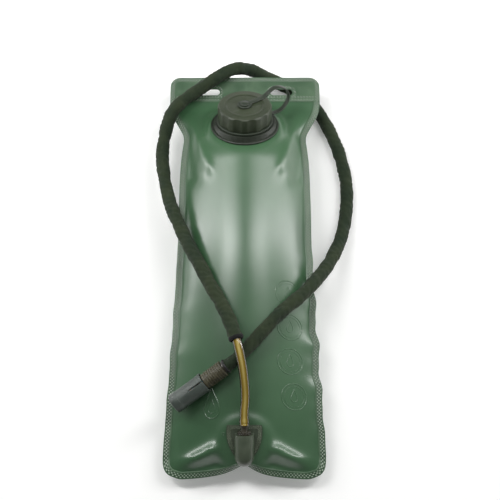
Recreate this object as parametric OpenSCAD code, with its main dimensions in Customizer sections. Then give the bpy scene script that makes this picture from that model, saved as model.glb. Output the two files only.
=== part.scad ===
// Hydration bladder, filled and lying on its back.
// Frame: the origin is on the table under the middle of the bag, +Z is up, the header is
// toward +Y and the outlet is at the -Y end. All sizes are in millimetres.

/* [Reservoir] */
// Width of the film between its side welds, laid flat
film_w = 162; // [140:1:190]
// Length from the header weld to the foot weld, as filled
bag_len = 424; // [380:1:500]
// Width of the welded seam round the bag
seam_w = 7; // [5:0.5:10]
// Thickness of one film
film_t = 0.5; // [0.4:0.1:0.8]
// Radius of the foot's corners
foot_corner_r = 20; // [12:1:30]

/* [Header] */
// Height of the hanging strip above its weld
header_h = 31; // [28:1:40]
// Thickness of the hanging strip
header_t = 1.2; // [1:0.1:2]
// Radius of the strip's top corners
header_corner_r = 12; // [5:1:15]
// Distance between the middles of the two hanging slots
slot_spacing = 84; // [70:1:100]
// Length of a hanging slot
slot_len = 26; // [18:1:32]
// Width of a hanging slot
slot_w = 8; // [6:0.5:10]
// Distance of the slots from the header weld
slot_up = 12; // [10:1:16]

/* [Fill port] */
// Distance of the fill port's flange from the header weld, along Y
port_edge = 8.1; // [7:0.1:25]
// Tilt of the fill port toward the header, in degrees
port_tilt = 30; // [25:1:35]
// Radius of the flange that is welded to the film
flange_r = 38; // [36:1:42]
// Thickness of the flange
flange_t = 2; // [1.5:0.1:3]
// Height of the boss, from the film to the tether ring
boss_h = 7; // [6:0.5:9]
// Radius of the fill mouth
mouth_r = 22; // [18:0.5:23]
// Wall of the neck
neck_wall = 3.5; // [2.5:0.1:4]
// Height of the neck above the boss
neck_h = 16; // [15:0.5:20]
// Depth of the thread
thread_d = 1.5; // [1:0.1:2]
// Rise of the thread in one turn
thread_lead = 6; // [5:0.5:8]
// Wall of the cap outside its thread
cap_wall = 2.7; // [2.4:0.1:4]
// Thickness of the cap's top
cap_top_t = 2.5; // [2:0.1:4]
// Number of grip scallops round the cap
cap_scallops = 12; // [8:1:16]
// Depth of a grip scallop
scallop_d = 1.2; // [0.8:0.1:1.6]

/* [Tether] */
// Width of the tether strap
strap_w = 6; // [4:0.5:8]
// Thickness of the tether
strap_t = 1.6; // [1.2:0.1:2]
// Radius of the eyelet on the cap
eyelet_r = 8; // [7:0.5:10]
// Radius of the stud's shaft
stud_r = 3.2; // [2.5:0.1:4]

/* [Outlet] */
// Distance of the outlet's middle from the foot weld, along Y
outlet_up = 30; // [26:1:40]
// Half width of the welded shield
shield_half = 18.6; // [16:0.2:22]
// Thickness of the welded shield
shield_t = 1.4; // [1:0.1:2]
// Radius of the half barrel housing
barrel_r = 10; // [8.5:0.1:11]
// Height of the spigot's axis above the film
spigot_axis = 8.8; // [8:0.1:9.6]
// Radius of the housing's bore
outlet_bore_r = 5.1; // [4.6:0.1:6]

/* [Hose] */
// Outer diameter of the drink tube
tube_d = 9.5; // [8:0.1:10]
// Bore of the drink tube
tube_bore = 6.5; // [5.5:0.1:7]
// Outer diameter of the fabric sleeve
sleeve_d = 15.6; // [13:0.1:16]
// Bore of the fabric sleeve
sleeve_bore = 11; // [10.5:0.1:12]

/* [Bite valve] */
// Radius of the valve's stem
stem_r = 4.5; // [4:0.1:5]
// Radius of the shut-off core
core_r = 6.6; // [6.2:0.1:7]
// Radius of the ribbed collar over its ribs
collar_r = 9; // [8.4:0.1:9.4]
// Length of the ribbed collar
collar_len = 24; // [22:0.5:30]
// Number of ribs on the collar
collar_ribs = 8; // [5:1:9]
// Outer radius of the dust cover
cover_r = 10.8; // [10.4:0.1:12]
// Wall of the dust cover
cover_wall = 1.4; // [1:0.1:1.6]
// Length of the dust cover
cover_len = 40; // [38:0.5:46]
// Width of the dust cover's two slots
cover_slot_w = 1.8; // [1:0.1:3]
// Length of the dust cover's two slots
cover_slot_len = 18; // [10:0.5:24]

/* [Hidden] */
$fn = 72;

gap = 0.3;                 // clearance between pieces that don't touch
run_gap = 0.05;            // radial clearance of a running fit

// The side seam: share of the length from the header weld, share of the film's half
// width, height above the table. The film is drawn in most just below the header.
seam_line = [[0, 0.98, 32], [0.03, 0.97, 32], [0.11, 0.75, 37], [0.16, 0.79, 38],
             [0.22, 0.815, 38], [0.45, 0.82, 37], [0.64, 0.87, 32], [0.82, 0.925, 26],
             [0.94, 0.97, 19.5], [1, 0.98, 16]];
seam_half = [for (s = seam_line) [s[0], s[1]]];
seam_height = [for (s = seam_line) [s[0], s[2]]];
top_end = 102;             // length over which the front film rises
back_end = 68;             // length over which the back film comes down to the table
foot_end = 30;             // length over which both films close at the foot

header_y = (bag_len + seam_w + header_h) / 2 - header_h;   // the header weld
foot_y = header_y - bag_len;                               // the foot weld
film_cols = 24;
film_rows = 48;

// The drink tube's route, from the outlet over the bag, round it and back to the valve.
// The sleeve starts at point sleeve_start.
route = [[0, -178, 55], [0, -166, 60], [1, -150, 67], [-1, -128, 78], [-5, -108, 86],
         [-9, -93, 87], [-15, -76, 85], [-28, -49, 79], [-45, -16, 71], [-61, 17, 61],
         [-75, 49, 50], [-84, 76, 42], [-90, 102, 36], [-93, 128, 34], [-91, 154, 37],
         [-84, 178, 43], [-71, 195, 43], [-56, 208, 42], [-41, 219, 42], [-26, 230, 42],
         [-12, 239, 38], [3, 243, 30], [18, 241, 22], [34, 236, 14], [52, 228, 9],
         [69, 216, 8], [84, 200, 8], [99, 173, 8], [110, 141, 8], [116, 107, 8],
         [115, 73, 8], [108, 40, 14], [95, 9, 28], [82, -13, 42], [67, -33, 54],
         [50, -51, 64], [32, -69, 70], [13, -91, 73], [-6, -111, 71], [-18, -119, 67]];
sleeve_start = 5;
valve_dir = route[len(route) - 1] - route[len(route) - 2];
valve_turn = atan2(valve_dir[1], valve_dir[0]);
valve_dip = -asin(valve_dir[2] / norm(valve_dir));
outlet_tilt = atan2(route[1][2] - route[0][2], route[1][1] - route[0][1]);
tube_sides = 12;

neck_r = mouth_r + neck_wall;
neck_top = boss_h + neck_h;
cap_bore_r = neck_r + thread_d + gap;
cap_r = cap_bore_r + cap_wall;
gasket_t = 1.4;
cap_under = neck_top + 0.1 + gasket_t;    // underside of the cap's top
cap_top = cap_under + cap_top_t;
ring_z = boss_h + gap;
ring_t = 2;
cap_bottom = ring_z + ring_t + 0.7;
eyelet_z = cap_top + gap;
stud_head_z = eyelet_z + strap_t + 0.2;
thread_from = boss_h + 4;
thread_turns = 1.5;

barrel_back = -12;         // the housing, along the outlet's own Y
barrel_mouth = 11;
tube_at = 21;              // the tube's end, along the outlet's own Y
spigot_r = outlet_bore_r - run_gap;
oring_r = 0.78;
groove = 1.6;              // width and depth of an O-ring's groove

tail_t = 1.6;
clip_t = 2.1;
tail_z = clip_t + gap;
collar_z = tail_z + tail_t + gap;
collar_land = 3;
cover_bore_r = cover_r - cover_wall;
cover_z = collar_z + collar_len + gap;
core_z = collar_z + 0.7;
core_len = collar_len - 3;
stem_end = cover_z + 8;
mouth_end = cover_z + cover_len - 6;

// ---- the bag's own shape -------------------------------------------------------------

// A table's value at a share of the length, rounded where its straight stretches meet.
function eased(at, table, reach = 0.03) =
    (lookup(at - reach, table) + lookup(at - reach / 2, table) + lookup(at, table)
     + lookup(at + reach / 2, table) + lookup(at + reach, table)) / 5;
function half_at(v) = film_w / 2 * eased(v, seam_half);
function seam_z(v) = eased(v, seam_height);

// How far a film bows out when its two side welds are drawn in: the rise of an arc whose
// length is the film's flat width.
function bow(v) = sqrt(max(0.375 * 2 * half_at(v) * (film_w - 2 * half_at(v)), 0.01));
function ends(v, top) = pow(sin(90 * min(1, v * bag_len / top)), 1.5)
                        * pow(sin(90 * min(1, (1 - v) * bag_len / foot_end)), 0.7);
function front_rise(v) = max(0.05, bow(v) * ends(v, top_end));
function back_drop(v) = max(0.05, bow(v) * ends(v, back_end));
function crest(y) = let (v = (header_y - y) / bag_len) seam_z(v) + front_rise(v) + film_t;

port_in = port_edge + flange_r * cos(port_tilt);   // the port's middle from the header weld
port = [0, header_y - port_in, crest(header_y - port_in)];
port_fade = min(16, port_edge / cos(port_tilt));           // what the header leaves free
outlet = [0, foot_y + outlet_up, crest(foot_y + outlet_up)];

// A point of the arc between the side welds. The arc parameter runs from -1 to 1.
function arc_point(a, half, rise, lift) =
    let (turn = 2 * atan(rise / half), r = half / sin(turn))
    [(r + lift) * sin(a * turn), (r + lift) * cos(a * turn) - r * cos(turn)];

// The film lies flat under a welded fitting: 1 within its radius, fading to 0.
function near(x, y, spot, tilt, radius, fade) =
    let (d = norm([x - spot[0], (y - spot[1]) / cos(tilt)]),
         s = min(1, max(0, (radius + fade - d) / fade)))
    s * s * (3 - 2 * s);
function plane_z(y, spot, slope) = spot[2] + (y - spot[1]) * tan(slope);
function mix(a, b, share) = a * (1 - share) + b * share;
function seated(x, y, z, under) =
    let (p = near(x, y, port, port_tilt, flange_r + 2, port_fade - 2),
         q = near(x, y, outlet, outlet_tilt, 22, 14),
         z1 = mix(z, plane_z(y, port, -port_tilt) - under / cos(port_tilt), p))
    mix(z1, plane_z(y, outlet, outlet_tilt) - under / cos(outlet_tilt), q);

// How far the foot's rounded corner draws the edge in at a place along Y.
function corner_in(y) =
    let (d = max(0, foot_corner_r - (y - (foot_y - seam_w))), r = foot_corner_r)
    r - sqrt(max(0, r * r - d * d));

// One row of points across a film. Lift is 0 on the inner face and film_t on the outer.
function film_row(j, lift, front) =
    let (v = min(1, j / film_rows),
         y = j > film_rows ? foot_y - seam_w : header_y - v * bag_len,
         edge = half_at(v) + seam_w - corner_in(y),
         half = min(half_at(v), edge - 1),
         rise = front ? front_rise(v) : back_drop(v),
         flat = j > film_rows,
         way = front ? 1 : -1)
    [for (k = [0 : film_cols + 2])
        let (p = k == 0 ? [-edge, lift]
               : k == film_cols + 2 ? [edge, lift]
               : flat ? [half * (2 * (k - 1) / film_cols - 1), lift]
               : arc_point(2 * (k - 1) / film_cols - 1, half, rise, lift),
             z = seam_z(v) + way * p[1])
        [p[0], y, front ? (flat ? z : seated(p[0], y, z, film_t - lift))
                        : max(film_t - lift, z)]];

// A closed sheet between an upper and a lower grid of points.
module sheet(upper, lower) {
    rows = len(upper);
    cols = len(upper[0]);
    under = rows * cols;
    function at(j, k) = j * cols + k;
    polyhedron(
        points = concat([for (r = upper) each r], [for (r = lower) each r]),
        faces = concat(
            [for (j = [0 : rows - 2], k = [0 : cols - 2])
                each [[at(j, k), at(j, k + 1), at(j + 1, k + 1)],
                      [at(j, k), at(j + 1, k + 1), at(j + 1, k)],
                      [under + at(j, k), under + at(j + 1, k + 1), under + at(j, k + 1)],
                      [under + at(j, k), under + at(j + 1, k), under + at(j + 1, k + 1)]]],
            [for (j = [0 : rows - 2])
                each [[at(j, 0), at(j + 1, 0), under + at(j + 1, 0)],
                      [at(j, 0), under + at(j + 1, 0), under + at(j, 0)],
                      [at(j + 1, cols - 1), at(j, cols - 1), under + at(j, cols - 1)],
                      [at(j + 1, cols - 1), under + at(j, cols - 1),
                       under + at(j + 1, cols - 1)]]],
            [for (k = [0 : cols - 2])
                each [[at(0, k + 1), at(0, k), under + at(0, k)],
                      [at(0, k + 1), under + at(0, k), under + at(0, k + 1)],
                      [at(rows - 1, k), at(rows - 1, k + 1), under + at(rows - 1, k + 1)],
                      [at(rows - 1, k), under + at(rows - 1, k + 1),
                       under + at(rows - 1, k)]]]));
}

// ---- sweeps ----------------------------------------------------------------------------

function unit(v) = v / norm(v);
function tangent(path, i) =
    unit((i < len(path) - 1 ? unit(path[i + 1] - path[i]) : [0, 0, 0])
         + (i > 0 ? unit(path[i] - path[i - 1]) : [0, 0, 0]));
// A closed outline carried along a path, with its second coordinate held toward up.
function ring_at(path, i, outline, up) =
    let (t = tangent(path, i), n = unit(up - (up * t) * t), s = cross(n, t))
    [for (p = outline) path[i] + p[0] * s + p[1] * n];
function circle_points(r, sides) =
    [for (k = [0 : sides - 1]) [r * cos(360 * k / sides), r * sin(360 * k / sides)]];

module sweep(path, outline, up = [0, 0, 1]) {
    n = len(outline);
    last = (len(path) - 1) * n;
    polyhedron(
        points = [for (i = [0 : len(path) - 1]) each ring_at(path, i, outline, up)],
        faces = concat(
            [[for (k = [0 : n - 1]) k]],
            [[for (k = [n - 1 : -1 : 0]) last + k]],
            [for (i = [0 : len(path) - 2], k = [0 : n - 1])
                let (a = i * n + k, b = i * n + (k + 1) % n)
                each [[a, a + n, b + n], [a, b + n, b]]]));
}

// A hollow tube along a path.
module hollow_sweep(path, outer_r, inner_r, sides) {
    n = sides;
    rings = len(path);
    inside = rings * n;
    up = [0, 0, 1];
    polyhedron(
        points = concat(
            [for (i = [0 : rings - 1]) each ring_at(path, i, circle_points(outer_r, n), up)],
            [for (i = [0 : rings - 1]) each ring_at(path, i, circle_points(inner_r, n), up)]),
        faces = concat(
            [for (i = [0 : rings - 2], k = [0 : n - 1])
                let (a = i * n + k, b = i * n + (k + 1) % n)
                each [[a, a + n, b + n], [a, b + n, b],
                      [inside + a, inside + b + n, inside + a + n],
                      [inside + a, inside + b, inside + b + n]]],
            [for (k = [0 : n - 1])
                let (a = k, b = (k + 1) % n, c = (rings - 1) * n + a, d = (rings - 1) * n + b)
                each [[a, b, inside + b], [a, inside + b, inside + a],
                      [c, inside + d, d], [c, inside + c, inside + d]]]));
}

// A helical ridge. It stands out from root_r to crest_r, or inward if crest_r is less.
module thread(root_r, crest_r, from_z, turns, start) {
    steps = 24 * turns;
    root_half = 1.2;
    crest_half = 0.6;
    out = crest_r > root_r;
    function ridge(i) =
        let (turn = start + 360 * i / 24, z = from_z + thread_lead * i / 24,
             tall = min(1, min(i, steps - i) / 3),
             r = root_r + (crest_r - root_r) * (0.3 + 0.7 * tall))
        [for (p = [[root_r, -root_half], [r, -crest_half], [r, crest_half],
                   [root_r, root_half]])
            [p[0] * cos(turn), p[0] * sin(turn), z + p[1]]];
    last = steps * 4;
    side = [for (i = [0 : steps - 1], k = [0 : 3])
               let (a = i * 4 + k, b = i * 4 + (k + 1) % 4)
               each [[a, b + 4, a + 4], [a, b, b + 4]]];
    caps = [[3, 2, 1, 0], [last, last + 1, last + 2, last + 3]];
    faces = concat(side, caps);
    polyhedron(points = [for (i = [0 : steps]) each ridge(i)],
               faces = out ? faces : [for (f = faces) [for (k = [len(f) - 1 : -1 : 0]) f[k]]]);
}

module at_port() { translate(port) rotate([-port_tilt, 0, 0]) children(); }
module at_outlet() { translate(outlet) rotate([outlet_tilt, 0, 0]) children(); }
// The spigot's axis is local Z here, with 0 at the outlet's middle.
module on_spigot() {
    at_outlet() translate([0, 0, spigot_axis]) rotate([-90, 0, 0]) children();
}
module at_valve() {
    translate(route[len(route) - 1]) rotate([0, 90 + valve_dip, valve_turn]) children();
}
module tube(r_out, r_in, h) {
    difference() {
        cylinder(r = r_out, h = h);
        translate([0, 0, -1]) cylinder(r = r_in, h = h + 2);
    }
}
module oring(r, z) { translate([0, 0, z]) rotate_extrude() translate([r, 0]) circle(oring_r); }

// ---- reservoir -------------------------------------------------------------------------

module front_film() color("darkseagreen") difference() {
    sheet([for (j = [0 : film_rows + 1]) film_row(j, film_t, true)],
          [for (j = [0 : film_rows + 1]) film_row(j, 0, true)]);
    at_port() translate([0, 0, -6]) cylinder(r = mouth_r + 1, h = 12);
    at_outlet() translate([0, -5, -6]) cylinder(r = 4, h = 12);
}

module back_film() color("seagreen")
    sheet([for (j = [0 : film_rows + 1]) film_row(j, 0, false)],
          [for (j = [0 : film_rows + 1]) film_row(j, film_t, false)]);

module slot_outline() {
    square([slot_len - slot_w, slot_w], center = true);
    for (x = [-1, 1]) translate([x * (slot_len - slot_w) / 2, 0]) circle(d = slot_w);
}

module hanger_header() color("darkseagreen") {
    half = half_at(0) + seam_w;
    r = header_corner_r;
    translate([0, header_y, seam_z(0) - header_t / 2]) linear_extrude(header_t)
        difference() {
            union() {
                translate([-half, 0]) square([2 * half, header_h - r]);
                translate([r - half, 0]) square([2 * (half - r), header_h]);
                for (x = [-1, 1]) translate([x * (half - r), header_h - r]) circle(r);
            }
            for (x = [-1, 1]) translate([x * slot_spacing / 2, slot_up]) slot_outline();
        }
}

// ---- fill port -------------------------------------------------------------------------

module fill_collar() color("darkolivegreen") at_port() union() {
    rotate_extrude() polygon([
        [mouth_r, 0], [flange_r, 0], [flange_r, flange_t * 0.6],
        [flange_r - 1, flange_t], [flange_r - 2.5, flange_t],
        [flange_r - 4.5, boss_h], [neck_r, boss_h], [neck_r, neck_top - 0.8],
        [neck_r - 0.8, neck_top], [mouth_r, neck_top]]);
    thread(neck_r - 0.2, neck_r + thread_d, thread_from, thread_turns, 0);
}

lug_turn = 22;             // direction of the tether from the neck, in degrees
strap_turn = 34;           // direction of the strap across the cap
ring_r = neck_r + 6;

module tether_ring() color("darkslategray") at_port() translate([0, 0, ring_z]) {
    difference() {
        union() {
            cylinder(r = ring_r, h = ring_t);
            rotate(lug_turn) translate([ring_r - 2, -strap_w / 2, 0])
                cube([5, strap_w, ring_t]);
        }
        translate([0, 0, -1]) cylinder(r = neck_r + gap, h = ring_t + 2);
    }
}

// The strap leaves the eyelet, arches over the cap's rim and comes down to the ring's lug.
// Each point is its distance from the cap's rim, its direction and its height.
strap_mid = eyelet_z + strap_t / 2;
strap_loop = [[5 - cap_r, 34, strap_mid], [-16, 34, strap_mid], [-8, 34, strap_mid + 0.4],
              [-2, 34, strap_mid + 2.5], [3, 33, strap_mid + 6], [9, 32, strap_mid + 8.5],
              [16, 30, strap_mid + 8], [22, 29, strap_mid + 4], [25, 28, strap_mid - 2],
              [24.5, 27, strap_mid - 8.5], [21, 26, strap_mid - 14], [16, 24, ring_z + 3.4],
              [10.5, 23, ring_z + 1.4], [ring_r + 3.5 - cap_r, 22, ring_z + ring_t / 2]];
strap_path = [for (p = strap_loop)
                 [(cap_r + p[0]) * cos(p[1]), (cap_r + p[0]) * sin(p[1]), p[2]]];
strap_outline = [for (p = [[-1, -1], [1, -1], [1, 1], [-1, 1]])
                    [p[0] * strap_t / 2, p[1] * strap_w / 2]];

module tether_strap() color("darkslategray") at_port() difference() {
    union() {
        translate([0, 0, eyelet_z]) cylinder(r = eyelet_r, h = strap_t);
        sweep(strap_path, strap_outline, [-sin(28), cos(28), 0]);
    }
    translate([0, 0, eyelet_z - 1]) cylinder(r = stud_r + run_gap, h = strap_t + 2);
}

module screw_cap() color("darkolivegreen") at_port() {
    bevel = 1.4;
    difference() {
        rotate_extrude() polygon([
            [stud_r, cap_under], [cap_bore_r, cap_under], [cap_bore_r, cap_bottom],
            [cap_r, cap_bottom], [cap_r, cap_top - bevel], [cap_r - bevel, cap_top],
            [stud_r, cap_top]]);
        for (i = [0 : cap_scallops - 1]) rotate(360 * (i + 0.5) / cap_scallops)
            translate([cap_r + 16 - scallop_d, 0, cap_bottom - 1])
                cylinder(r = 16, h = cap_top - cap_bottom + 2);
    }
    thread(cap_bore_r + 0.2, neck_r + gap, thread_from + thread_lead / 2 - 2,
           thread_turns, -120);
}

module cap_stud() color("black") at_port() rotate_extrude() polygon([
    [0, cap_under - 1.2], [5, cap_under - 1.2], [5, cap_under], [stud_r, cap_under],
    [stud_r, stud_head_z], [5, stud_head_z], [5, stud_head_z + 0.6],
    [3.6, stud_head_z + 1.5], [0, stud_head_z + 1.8]]);

module cap_gasket() color("dimgray") at_port() translate([0, 0, cap_under - gasket_t])
    tube(cap_bore_r - gap, mouth_r - 1.5, gasket_t);

// ---- outlet ----------------------------------------------------------------------------

module shield_outline() {
    side_r = 42;
    intersection() {
        translate([-shield_half, -21]) square([2 * shield_half, 40]);
        translate([shield_half - side_r, 12]) circle(side_r);
        translate([side_r - shield_half, 12]) circle(side_r);
    }
}

module outlet_shield() color("darkolivegreen") difference() {
    union() {
        at_outlet() linear_extrude(shield_t) shield_outline();
        intersection() {
            union() {
                on_spigot() translate([0, 0, barrel_back])
                    cylinder(r = barrel_r, h = barrel_mouth - barrel_back);
                at_outlet() translate([0, barrel_back, spigot_axis]) sphere(barrel_r);
                at_outlet() translate([-barrel_r, barrel_back, 0.2])
                    cube([2 * barrel_r, barrel_mouth - barrel_back, spigot_axis]);
            }
            at_outlet() translate([-barrel_r, barrel_back - barrel_r, 0.2])
                cube([2 * barrel_r, barrel_r + barrel_mouth - barrel_back, 30]);
        }
    }
    on_spigot() translate([0, 0, -9]) cylinder(r = outlet_bore_r, h = 30);
    at_outlet() translate([0, -5, -1]) cylinder(r = 3.5, h = spigot_axis + 1);
}

module outlet_spigot() color("dimgray") on_spigot() rotate_extrude() polygon([
    [2, -2], [spigot_r, -2], [spigot_r, 0], [spigot_r - groove, 0],
    [spigot_r - groove, groove], [spigot_r, groove], [spigot_r, 4],
    [spigot_r - groove, 4], [spigot_r - groove, 4 + groove], [spigot_r, 4 + groove],
    [spigot_r, barrel_mouth + 1.8], [7, barrel_mouth + 1.8],
    [7, barrel_mouth + 3.2], [3.4, barrel_mouth + 3.2], [3.4, tube_at - 2.4],
    [4.2, tube_at - 2.2], [4.2, tube_at - 0.4], [2.9, tube_at - 0.2],
    [2.9, tube_at + 5], [2.5, tube_at + 9], [2, tube_at + 9]]);

module spigot_orings() color("black") on_spigot() {
    oring(spigot_r - oring_r, groove / 2);
    oring(spigot_r - oring_r, 4 + groove / 2);
}

module lock_ring() color("dimgray") on_spigot() translate([0, 0, barrel_mouth + 0.1])
    tube(spigot_axis - shield_t - gap / 2, spigot_r + 0.2, 1.6);

// ---- hose ------------------------------------------------------------------------------

module drink_tube() color("goldenrod")
    hollow_sweep(route, tube_d / 2, tube_bore / 2, tube_sides);

module tube_sleeve() color("darkslategray")
    hollow_sweep([for (i = [sleeve_start : len(route) - 1]) route[i]],
                 sleeve_d / 2, sleeve_bore / 2, tube_sides);

module sleeve_cuff() color("black") {
    back = -tangent(route, sleeve_start);
    translate(route[sleeve_start] + back * 1)
        rotate([0, acos(back[2]), atan2(back[1], back[0])])
            tube(sleeve_d / 2 + 0.2, sleeve_bore / 2, 5);
}

module sleeve_clip() color("black") at_valve() translate([0, 0, 0.1])
    tube(sleeve_d / 2 + 0.2, 5.2, clip_t);

// ---- bite valve ------------------------------------------------------------------------

module valve_tail() color("dimgray") at_valve() difference() {
    rotate_extrude() polygon([
        [0, -12], [2.5, -12], [2.9, -8], [2.9, 0.1], [5, 0.1], [5, tail_z], [7, tail_z],
        [7, tail_z + tail_t], [stem_r, tail_z + tail_t], [stem_r, core_z + 2],
        [stem_r - groove, core_z + 2], [stem_r - groove, core_z + 2 + groove],
        [stem_r, core_z + 2 + groove],
        [stem_r, core_z + core_len - 4], [stem_r - groove, core_z + core_len - 4],
        [stem_r - groove, core_z + core_len - 4 + groove],
        [stem_r, core_z + core_len - 4 + groove],
        [stem_r, stem_end - 2], [stem_r - 0.6, stem_end], [0, stem_end]]);
    translate([0, 0, -13]) cylinder(r = 1.9, h = 13 + core_z + 8);
    translate([0, 0, core_z + 13]) cylinder(r = 1.9, h = stem_end);
    for (z = [6, 14]) translate([-stem_r - 1, 0, core_z + z]) rotate([0, 90, 0])
        cylinder(r = 1.4, h = stem_r + 1);
}

module valve_orings() color("black") at_valve() {
    oring(stem_r - oring_r, core_z + 2 + groove / 2);
    oring(stem_r - oring_r, core_z + core_len - 4 + groove / 2);
}

module shutoff_core() color("gray") at_valve() difference() {
    translate([0, 0, core_z]) tube(core_r, stem_r + run_gap, core_len);
    translate([-stem_r - 1.6, 0, core_z + 10]) cube([2.4, 3, 11], center = true);
}

module shutoff_collar() color("darkolivegreen") at_valve() {
    pitch = (collar_len - collar_land) / collar_ribs;
    difference() {
        translate([0, 0, collar_z]) cylinder(r = collar_r, h = collar_len - collar_land);
        for (i = [0 : collar_ribs - 1]) translate([0, 0, collar_z + (i + 0.7) * pitch])
            tube(collar_r + 1, collar_r - 0.8, pitch * 0.4);
        translate([0, 0, collar_z - 1]) cylinder(r = core_r + run_gap, h = collar_len + 2);
    }
    translate([0, 0, collar_z + collar_len - collar_land])
        tube(collar_r - 0.6, core_r + run_gap, collar_land);
}

module bite_valve() color("lightgray") at_valve() difference() {
    rotate_extrude() polygon([
        [0, cover_z + 1], [7.4, cover_z + 1], [7.4, cover_z + 5], [6.2, cover_z + 6.5],
        [6.2, cover_z + 11], [7.6, cover_z + 15], [8, cover_z + 20],
        [7.2, mouth_end - 5], [5.6, mouth_end - 1.2], [4, mouth_end], [0, mouth_end]]);
    translate([0, 0, cover_z]) cylinder(r = stem_r + 0.02, h = stem_end - cover_z + gap);
    translate([0, 0, cover_z]) cylinder(r = 3, h = mouth_end - cover_z - 2);
    translate([0, 0, mouth_end]) cube([6, 0.4, 8], center = true);
}

module dust_cover() color("slategray") at_valve() translate([0, 0, cover_z]) difference() {
    rotate_extrude() polygon([
        [0, cover_len - 1.8], [cover_bore_r, cover_len - 1.8], [cover_bore_r, 0],
        [cover_r, 0], [cover_r, cover_len - 1], [cover_r - 1, cover_len], [0, cover_len]]);
    for (turn = [-90, 90]) rotate(turn) translate([0, -cover_slot_w / 2, -1]) {
        cube([cover_r + 1, cover_slot_w, cover_slot_len + 1 - cover_slot_w / 2]);
        translate([0, cover_slot_w / 2, cover_slot_len + 1 - cover_slot_w / 2])
            rotate([0, 90, 0]) cylinder(d = cover_slot_w, h = cover_r + 1);
    }
}

front_film();
back_film();
hanger_header();
fill_collar();
tether_ring();
tether_strap();
screw_cap();
cap_stud();
cap_gasket();
outlet_shield();
outlet_spigot();
spigot_orings();
lock_ring();
drink_tube();
tube_sleeve();
sleeve_cuff();
sleeve_clip();
valve_tail();
shutoff_core();
shutoff_collar();
valve_orings();
bite_valve();
dust_cover();
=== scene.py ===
# %% [markdown]
# # A hydration bladder
#
# This lesson dresses a filled three litre water bladder: two welded films, a screw cap on a
# tether, an outlet, and a sleeved drink tube that ends in a bite valve. The working model
# comes in as a fixed frame. Every piece made here takes its place from that frame.

# %% Load the frame
import math

import bmesh
import bpy
import numpy as np
from mathutils import Matrix, Vector
from mathutils.bvhtree import BVHTree


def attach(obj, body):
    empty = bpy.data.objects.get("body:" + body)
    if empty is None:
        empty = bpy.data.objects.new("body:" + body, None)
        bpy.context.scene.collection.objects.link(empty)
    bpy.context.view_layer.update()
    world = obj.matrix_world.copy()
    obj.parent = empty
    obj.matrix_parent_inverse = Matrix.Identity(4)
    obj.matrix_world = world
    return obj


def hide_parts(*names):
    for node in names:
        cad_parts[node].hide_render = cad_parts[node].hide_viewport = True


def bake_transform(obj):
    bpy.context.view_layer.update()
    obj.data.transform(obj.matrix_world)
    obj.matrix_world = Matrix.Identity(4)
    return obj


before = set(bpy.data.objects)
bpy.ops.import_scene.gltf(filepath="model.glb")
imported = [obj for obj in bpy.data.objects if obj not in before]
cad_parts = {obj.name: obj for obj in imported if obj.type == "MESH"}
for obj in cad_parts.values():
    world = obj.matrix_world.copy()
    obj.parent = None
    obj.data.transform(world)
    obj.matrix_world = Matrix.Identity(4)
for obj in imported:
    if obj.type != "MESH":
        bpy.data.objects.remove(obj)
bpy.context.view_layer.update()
MM = 0.001


def add_object(name, data):
    made = bpy.data.objects.new(name, data)
    bpy.context.scene.collection.objects.link(made)
    return made


# %% [markdown]
# ## Camera
#
# The bag lies on a table and is seen from well above its foot. A long lens keeps the bag's
# two sides almost parallel, as a product picture does. The camera comes before the pieces,
# because the length of hose that it sees decides how the hose may be laid.

# %% Camera
ELEVATION = math.radians(71)
DISTANCE = 1.247
LOOK_AT = Vector((5.8, 30, 0)) * MM

camera_data = bpy.data.cameras.new("camera")
camera_data.lens = 79.4
camera = add_object("camera", camera_data)
camera.location = LOOK_AT + DISTANCE * Vector((0, -math.cos(ELEVATION), math.sin(ELEVATION)))
camera.rotation_euler = (math.pi / 2 - ELEVATION, 0, 0)
bpy.context.scene.camera = camera
print("camera at", [round(c, 3) for c in camera.location])

# %% [markdown]
# ## The hose's route
#
# The drink tube is one metre of stiff dyed tube. It leaves the outlet, crosses the bag under
# its own fabric sleeve, goes round the header, lies on the table and comes back over the bag
# to its valve. The route is a short list of given points. A smooth curve through
# them is cut into even steps, and a frame is carried along it without twist, so that any
# round skin can be laid on it.

# %% The route
ROUTE = [(0, -178, 55), (0, -166, 60), (1, -150, 67), (-1, -128, 78), (-5, -108, 86),
         (-9, -93, 87), (-15, -76, 85), (-28, -49, 79), (-45, -16, 71), (-61, 17, 61),
         (-75, 49, 50), (-84, 76, 42), (-90, 102, 36), (-93, 128, 34), (-91, 154, 37),
         (-84, 178, 43), (-71, 195, 43), (-56, 208, 42), (-41, 219, 42), (-26, 230, 42),
         (-12, 239, 38), (3, 243, 30), (18, 241, 22), (34, 236, 14), (52, 228, 9),
         (69, 216, 8), (84, 200, 8), (99, 173, 8), (110, 141, 8), (116, 107, 8),
         (115, 73, 8), (108, 40, 14), (95, 9, 28), (82, -13, 42), (67, -33, 54),
         (50, -51, 64), (32, -69, 70), (13, -91, 73), (-6, -111, 71), (-18, -119, 67)]
SLEEVE_START = 5
route = np.array(ROUTE, float) * MM


def distances(path):
    """How far along a path each of its points lies."""
    return np.r_[0, np.cumsum(np.linalg.norm(np.diff(path, axis=0), axis=1))]


def even_steps(path, step):
    """The path cut into even steps, and how far along it each new point lies."""
    along = distances(path)
    even = np.linspace(0, along[-1], round(along[-1] / step) + 1)
    return np.stack([np.interp(even, along, path[:, k]) for k in range(3)], 1), even


def directions(path):
    way = np.gradient(path, axis=0)
    return way / np.linalg.norm(way, axis=1)[:, None]


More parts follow.
